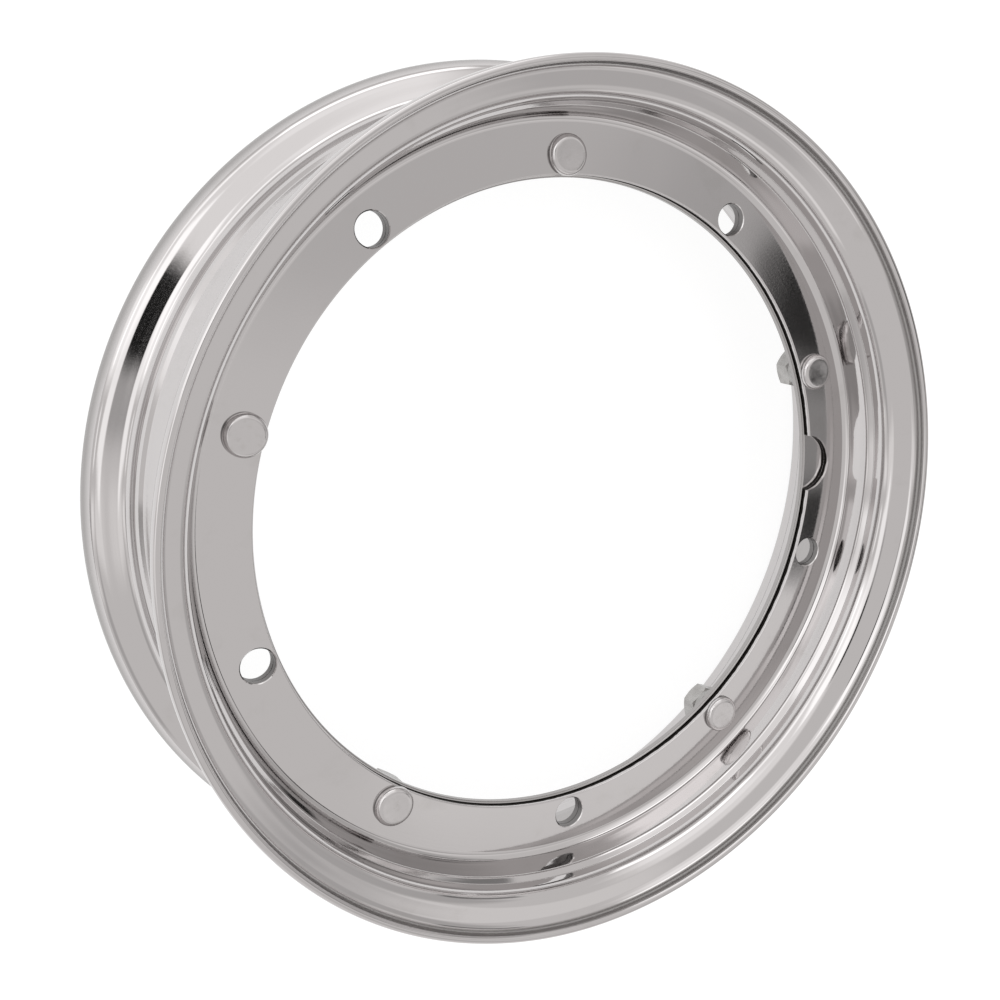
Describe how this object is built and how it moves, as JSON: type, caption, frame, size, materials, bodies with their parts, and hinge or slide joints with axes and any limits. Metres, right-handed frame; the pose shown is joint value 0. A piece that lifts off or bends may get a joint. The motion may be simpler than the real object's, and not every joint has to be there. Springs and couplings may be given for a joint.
{
  "type": "motor scooter rim",
  "caption": "Chrome-plated split steel rim for a small-wheeled scooter: two pressed rings bolted together hold the tyre and bolt to the wheel hub.",
  "frame": {"origin": "centre of the lower lip's plane, the lip of the wide half, on the wheel axis", "axes": "+Z along the wheel axis from the wide half to the narrow half; +X through the notch and the valve hole"},
  "size_m": [0.282, 0.282, 0.073],
  "materials": {
    "rim_chrome": "polished chrome plate, faint water marks and fine scratches",
    "stud_chrome": "plated with the rim, slightly softer on the round heads",
    "washer_zinc": "bright zinc, satin",
    "nut_zinc": "bright zinc, satin"
  },
  "bodies": {
    "root": {"narrow_half": "rim_chrome", "wide_half": "rim_chrome", "stud_1": "stud_chrome", "stud_2": "stud_chrome", "stud_3": "stud_chrome", "stud_4": "stud_chrome", "stud_5": "stud_chrome", "spring_washer_1": "washer_zinc", "spring_washer_2": "washer_zinc", "spring_washer_3": "washer_zinc", "spring_washer_4": "washer_zinc", "spring_washer_5": "washer_zinc", "nut_1": "nut_zinc", "nut_2": "nut_zinc", "nut_3": "nut_zinc", "nut_4": "nut_zinc", "nut_5": "nut_zinc"}
  },
  "joints": []
}
